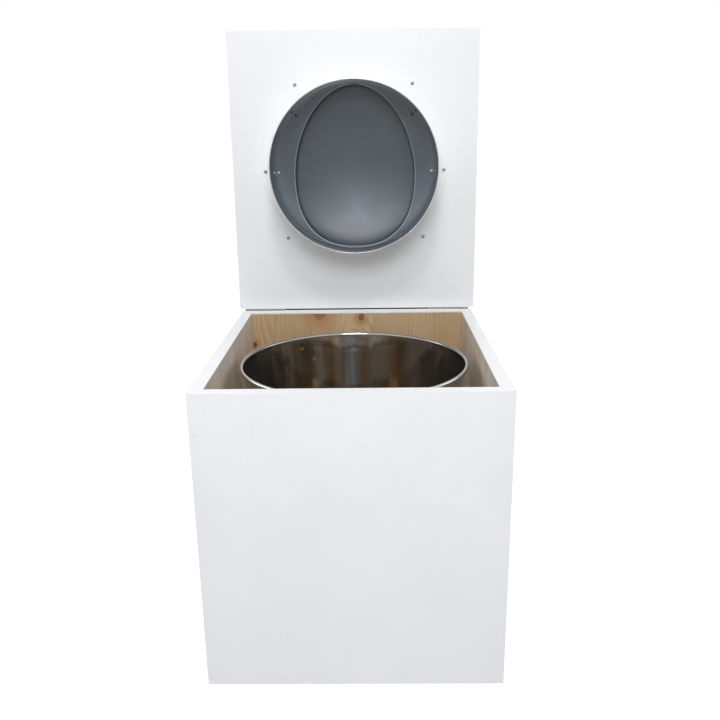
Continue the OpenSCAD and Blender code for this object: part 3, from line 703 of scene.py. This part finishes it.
def white_paint(name, inner=None):
    """Satin white paint. Where inner names a wall's axis, its inner face is left raw spruce."""
    paint = Finish(name, (0.84, 0.86, 0.87), 0.42)
    x, y, z = paint.split(paint.place)
    tone = paint.span(paint.noise(paint.place, 9, 3), 0.3, 0.7)
    colour = paint.mix(tone, (0.830, 0.851, 0.868), (0.859, 0.880, 0.897))
    orange_peel = paint.noise(paint.place, 700, 2)
    brushed = paint.noise(paint.stretched((260, 260, 9)), 1, 3)
    height = paint.add(paint.multiply(orange_peel, 0.5), brushed)
    gloss = paint.span(brushed, 0.3, 0.7, 0.38, 0.50)
    if inner:
        stave_w = 0.107
        if inner == "x":
            wood, grain = spruce_nodes(paint, x, z, 0.028, stave_w, REAR_KNOTS)
        else:
            wood, grain = spruce_nodes(paint, y, z, 0.011, stave_w)
            place = paint.join(paint.multiply(y, 20), paint.multiply(z, 5), x)
            whitened = paint.span(paint.noise(place, 1, 4, 0.6), 0.35, 0.65, 0.5, 1)
            wood = paint.mix(whitened, wood, (0.86, 0.79, 0.70))
        raw = raw_inside(paint, x, y, z)
        colour = paint.mix(raw, colour, wood)
        gloss = paint.add(gloss, paint.multiply(raw, 0.25))
        height = paint.add(height, paint.multiply(paint.multiply(raw, grain), 2))
    paint.set("Base Color", colour)
    paint.set("Roughness", gloss)
    paint.set("Normal", paint.bump(height, 0.00012))
    return paint


def raw_spruce():
    """The floor board, with its grain from side to side."""
    wood = Finish("raw_spruce_boards", (0.62, 0.46, 0.30), 0.65)
    x, y, _ = wood.split(wood.place)
    colour, height = spruce_nodes(wood, y, x, seam_at=0.02, stave_w=0.095)
    wood.set("Base Color", colour)
    wood.set("Normal", wood.bump(height, 0.0003))
    return wood


def seat_plastic(name, dark, light):
    """Moulded plastic with a slight sheen, clouded between two tints."""
    plastic = Finish(name, dark, 0.3)
    cloud = plastic.noise(plastic.place, 6, 3)
    plastic.set("Base Color", plastic.mix(cloud, dark, light))
    scuff = plastic.noise(plastic.place, 14, 3, 0.5)
    plastic.set("Roughness", plastic.span(scuff, 0.3, 0.7, 0.16, 0.22))
    plastic.set("Normal", plastic.bump(plastic.noise(plastic.place, 1100, 1), 0.00002))
    return plastic


def polished_steel(name, roughness, tint):
    """Mirror-bright sheet with faint drawn lines round it and some smears."""
    steel = Finish(name, tint, roughness, metallic=1.0)
    smear = steel.noise(steel.place, 14, 4, 0.6)
    lines = steel.noise(steel.stretched((30, 30, 1400)), 1, 2)
    steel.set("Roughness", steel.span(smear, 0.3, 0.75, roughness * 0.7, roughness * 1.5))
    steel.set("Normal", steel.bump(lines, 0.000004))
    return steel


# Upright bands of painted reflection in the bucket, brown for the wood round it, grey for
# the pale room and blue-grey for a highlight: angle to the right of straight back and half
# width in degrees, how strong, and colour.
BUCKET_REFLECTION_BANDS = ((-58, 14, 0.5, (0.30, 0.27, 0.23)), (-34, 9, 0.8, (0.30, 0.23, 0.15)),
                (-24, 4, 0.8, (0.40, 0.39, 0.36)), (-17, 4, 0.8, (0.36, 0.25, 0.17)),
                (-11, 3, 0.6, (0.46, 0.44, 0.41)), (-3, 5, 0.95, (0.42, 0.47, 0.52)),
                (6, 4, 0.9, (0.34, 0.27, 0.22)), (16, 4, 0.7, (0.36, 0.35, 0.33)),
                (26, 6, 0.8, (0.34, 0.22, 0.12)), (45, 9, 0.5, (0.26, 0.23, 0.20)))


def reflection_banded_steel(name, roughness, dull, bright):
    """The bucket's sheet: mirror-bright, with upright bands and streaks of painted reflection and
    highlight, and water marks in its roughness and surface.
    """
    steel = Finish(name, dull, roughness, metallic=0.95)
    x, y, z = steel.split(steel.place)
    turn = steel.math("ARCTAN2", x, steel.subtract(y, THROAT_Y * MM))

    def streaks(per_radian, per_metre, seed, detail, rough):
        place = steel.join(steel.multiply(turn, per_radian), steel.multiply(z, per_metre), seed)
        return steel.noise(place, 1, detail, rough)

    # Streaks between a brownish and a grey tint: painted reflection of the wooden box and the pale
    # room.
    colour = steel.mix(steel.span(streaks(5.5, 1.5, 0, 4, 0.6), 0.36, 0.66), dull, bright)
    ragged = steel.span(streaks(9, 12, 3, 3, 0.6), 0, 1, -0.03, 0.03)
    for degrees, half_wide, share, tint in BUCKET_REFLECTION_BANDS:
        off = steel.math("ABSOLUTE", steel.subtract(turn, math.radians(degrees)))
        edge = math.radians(half_wide)
        amount = steel.span(steel.add(off, ragged), edge * 0.5, edge, share, 0, smooth=True)
        colour = steel.mix(amount, colour, tint)
    steel.set("Base Color", colour)
    smear = steel.noise(steel.place, 20, 4, 0.6)
    steel.set("Roughness", steel.span(smear, 0.3, 0.75, roughness * 0.6, roughness * 1.7))
    steel.set("Normal", steel.bump(streaks(16, 9, 1, 2, 0.5), 0.00025))
    return steel


def worked_steel(name, roughness, dull, bright):
    """Plated hinges, screws and pins, clouded between two tints."""
    steel = Finish(name, dull, roughness, metallic=1.0)
    cloud = steel.noise(steel.place, 160, 4, 0.6)
    steel.set("Base Color", steel.mix(cloud, dull, bright))
    steel.set("Roughness", steel.span(cloud, 0.3, 0.7, roughness * 0.8, roughness * 1.3))
    steel.set("Normal", steel.bump(steel.noise(steel.place, 900, 2), 0.00002))
    return steel


def black_rubber():
    rubber = Finish("soft_rubber", (0.035, 0.035, 0.037), 0.6)
    grain = rubber.noise(rubber.place, 1600, 2)
    rubber.set("Base Color", rubber.mix(grain, (0.028, 0.028, 0.03), (0.045, 0.045, 0.047)))
    rubber.set("Normal", rubber.bump(grain, 0.00003))
    return rubber


# ---------------------------------------------------------------- stage and light

def visible_rays(tree):
    """1 for rays from the camera or off shiny surfaces, and 0 for light on the object."""
    path = tree.nodes.new("ShaderNodeLightPath")
    total = path.outputs["Is Camera Ray"]
    for name in ("Is Glossy Ray", "Is Transmission Ray"):
        both = tree.nodes.new("ShaderNodeMath")
        both.operation = "MAXIMUM"
        tree.links.new(total, both.inputs[0])
        tree.links.new(path.outputs[name], both.inputs[1])
        total = both.outputs[0]
    return total


def light_world(ambient):
    """White to the camera and in reflections, and a soft even light on the object."""
    world = bpy.data.worlds.new("studio")
    bpy.context.scene.world = world
    world.use_nodes = True
    tree = world.node_tree
    background = tree.nodes["Background"]
    background.inputs["Color"].default_value = (1, 1, 1, 1)
    strength = tree.nodes.new("ShaderNodeMapRange")
    tree.links.new(visible_rays(tree), strength.inputs["Value"])
    strength.inputs["To Min"].default_value = ambient
    strength.inputs["To Max"].default_value = 1.0
    tree.links.new(strength.outputs[0], background.inputs["Strength"])


def make_floor(half, glow):
    mesh = bpy.data.meshes.new("studio_floor")
    corners = [(-half, -half, 0), (half, -half, 0), (half, half, 0), (-half, half, 0)]
    mesh.from_pydata(corners, [], [(0, 1, 2, 3)])
    floor = bpy.data.objects.new("studio_floor", mesh)
    bpy.context.scene.collection.objects.link(floor)
    material = bpy.data.materials.new("pale_floor")
    material.use_nodes = True
    tree = material.node_tree
    tree.nodes.clear()
    paper = tree.nodes.new("ShaderNodeBsdfDiffuse")
    paper.inputs["Color"].default_value = (0.55, 0.55, 0.55, 1)
    shine = tree.nodes.new("ShaderNodeEmission")
    scale = tree.nodes.new("ShaderNodeMath")
    scale.operation = "MULTIPLY"
    tree.links.new(visible_rays(tree), scale.inputs[0])
    scale.inputs[1].default_value = glow
    tree.links.new(scale.outputs[0], shine.inputs["Strength"])
    both = tree.nodes.new("ShaderNodeAddShader")
    tree.links.new(paper.outputs[0], both.inputs[0])
    tree.links.new(shine.outputs[0], both.inputs[1])
    output = tree.nodes.new("ShaderNodeOutputMaterial")
    tree.links.new(both.outputs[0], output.inputs["Surface"])
    mesh.materials.append(material)


def add_lamp(name, place, target, size, power):
    """A soft square lamp that looks at a point."""
    data = bpy.data.lights.new(name, "AREA")
    data.shape = "SQUARE"
    data.size = size
    data.energy = power
    lamp = bpy.data.objects.new(name, data)
    lamp.location = place
    lamp.rotation_euler = (Vector(target) - Vector(place)).to_track_quat("-Z", "Y").to_euler()
    bpy.context.scene.collection.objects.link(lamp)


def add_camera(place, pitch, yaw, roll, lens):
    """A camera from its heading to the right, its tilt down and its roll, in degrees."""
    pitch, yaw, roll = (math.radians(a) for a in (pitch, yaw, roll))
    ahead = Vector((math.sin(yaw) * math.cos(pitch), math.cos(yaw) * math.cos(pitch),
                    -math.sin(pitch)))
    right = Vector((math.cos(yaw), -math.sin(yaw), 0))
    up = right.cross(ahead)
    rolled_right = right * math.cos(roll) + up * math.sin(roll)
    rolled_up = up * math.cos(roll) - right * math.sin(roll)
    turn = Matrix((rolled_right, rolled_up, -ahead)).transposed()
    data = bpy.data.cameras.new("camera")
    data.lens = lens
    data.sensor_width = 36
    camera = bpy.data.objects.new("camera", data)
    camera.matrix_world = Matrix.Translation(place) @ turn.to_4x4()
    bpy.context.scene.collection.objects.link(camera)
    bpy.context.scene.camera = camera


# ---------------------------------------------------------------- build

add_camera((0.0261, -1.1150, 0.7213), pitch=16.47, yaw=-0.91, roll=-0.78, lens=39.03)
light_world(ambient=0.40)
make_floor(half=60, glow=0.87)
add_lamp("key", (0.0, -1.25, 1.42), (0, 0, 0.45), size=0.7, power=11.2)
add_lamp("overhead", (0.0, -0.75, 2.05), (0, 0.2, 0.5), size=0.3, power=7.2)
add_lamp("low", (0.0, -1.40, 0.40), (0, 0.2, 0.6), size=0.32, power=1.7)
add_lamp("fill_left", (-1.9, 0.9, 1.7), (0, 0, 0.3), size=1.0, power=8)
add_lamp("fill_right", (1.9, 0.9, 1.7), (0, 0, 0.3), size=1.0, power=5)
add_lamp("fill_back", (0.0, 2.2, 1.6), (0, 0.2, 0.4), size=1.0, power=8)
# The mirror-bright collar throws light on the lid's underside: it is kept sharp.
bpy.context.scene.cycles.blur_glossy = 0
bpy.context.scene.view_settings.view_transform = "Standard"

wall_x = white_paint("painted_end_wall", inner="x")
wall_y = white_paint("painted_side_wall", inner="y")
paint = white_paint("white_paint_satin")
wood = raw_spruce()
plastic = seat_plastic("blue_grey_plastic", (0.053, 0.068, 0.084), (0.066, 0.084, 0.102))
# Near-black plastic inside the ring's blind holes: painted shade in the holes.
plastic_hole_shade = seat_plastic("painted_hole_shade", (0.006, 0.007, 0.009), (0.010, 0.012, 0.014))
# Much lighter plastic on the opening's lower bevel: a painted highlight along that edge.
plastic_edge_highlight = seat_plastic("painted_edge_highlight", (0.24, 0.27, 0.30), (0.32, 0.35, 0.38))
collar_steel = polished_steel("collar_mirror", 0.06, (0.48, 0.49, 0.51))
edge_steel = polished_steel("collar_edge", 0.3, (0.44, 0.44, 0.44))
dull_steel = polished_steel("collar_outside", 0.38, (0.38, 0.38, 0.38))
# The bucket's brownish dull tint is painted reflection of the wooden box.
bucket_steel = reflection_banded_steel("bucket_sheet", 0.045, (0.34, 0.28, 0.21), (0.44, 0.43, 0.41))
rim_steel = polished_steel("bucket_rim", 0.09, (0.40, 0.40, 0.39))
outer_steel = polished_steel("bucket_outside", 0.16, (0.56, 0.56, 0.55))
hardware = worked_steel("plated_screws", 0.32, (0.36, 0.37, 0.37), (0.52, 0.53, 0.53))
zinc = worked_steel("zinc_screws", 0.3, (0.24, 0.26, 0.26), (0.44, 0.46, 0.46))
# Near-black steel for the screws' cross recesses: painted shade in the recesses.
recess_shade_steel = worked_steel("painted_recess_shade", 0.5, (0.025, 0.025, 0.025), (0.06, 0.06, 0.06))
hinge_steel = worked_steel("aged_hinges", 0.42, (0.14, 0.14, 0.13), (0.26, 0.26, 0.25))
rubber = black_rubber()

finish_faces(make_seat_ring(), ON_BOARD,
             [plastic.material, plastic_edge_highlight.material, plastic_hole_shade.material], ring_side)
make_seat_lid().data.materials.append(plastic.material)
# The black strip behind the hinge gap is painted shade: it stands for the dark seen through the
# gap.
make_gap_shade_strip(half_w=125.7, thick=3, margin=0.6).data.materials.append(rubber.material)
for node, length, z, spots, head in (
        ("collar_screws", 15, FLANGE_FACE_Z, [(COLLAR_SCREW_AT, COLLAR_SCREW_ANGLE)], zinc),
        ("seat_ring_screws", 30, BOARD_FACE_Z, [(RING_SCREW_AT, a) for a in RING_SCREW_ANGLES],
         zinc),
        ("seat_ring_side_screws", 12, 0, [(SIDE_SCREW_AT, SIDE_SCREW_ANGLE)], hardware)):
    places = [Vector((*round_throat(r, angle, side), z))
              for r, angle in spots for side in (-1, 1)]
    make_pan_screws(node, length, places, [head.material, recess_shade_steel.material])
finish_faces(make_collar(), ON_BOARD,
             [collar_steel.material, paint.material, dull_steel.material, edge_steel.material],
             collar_side)
finish_faces(make_bucket(), IN_BOX,
             [bucket_steel.material, rim_steel.material, outer_steel.material], bucket_side)

for name in ("front_panel", "rear_panel"):
    dress(name, wall_x)
    soften(name, 0.8)
for name in ("left_panel", "right_panel"):
    dress(name, wall_y)
    soften(name, 0.8)
dress("seat_board", paint)
soften("seat_board", 1.2)
dress("base_panel", wood)
soften("base_panel", 0.5)
for node, side in (("front_panel_screws", -1), ("rear_panel_screws", 1)):
    make_painted_screws(node, [((x, side * BOX_D / 2, z), (0, side, 0))
                               for x in (-SCREW_X, SCREW_X) for z in EDGE_SCREW_Z], paint)
make_painted_screws("base_screws", [((side * BOX_W / 2, i * BASE_SCREW_PITCH, PANEL_T / 2),
                                     (side, 0, 0)) for side in (-1, 1) for i in (-1, 0, 1)], paint)
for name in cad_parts:
    if name.startswith("hinge_"):
        dress(name, hinge_steel)
    if name.startswith("lid_hinge"):
        dress(name, hardware)
for name in ("bucket_ear_back", "bucket_ear_front", "bail"):
    dress(name, outer_steel)
for name in ("lid_buffers", "bail_grip"):
    dress(name, rubber)
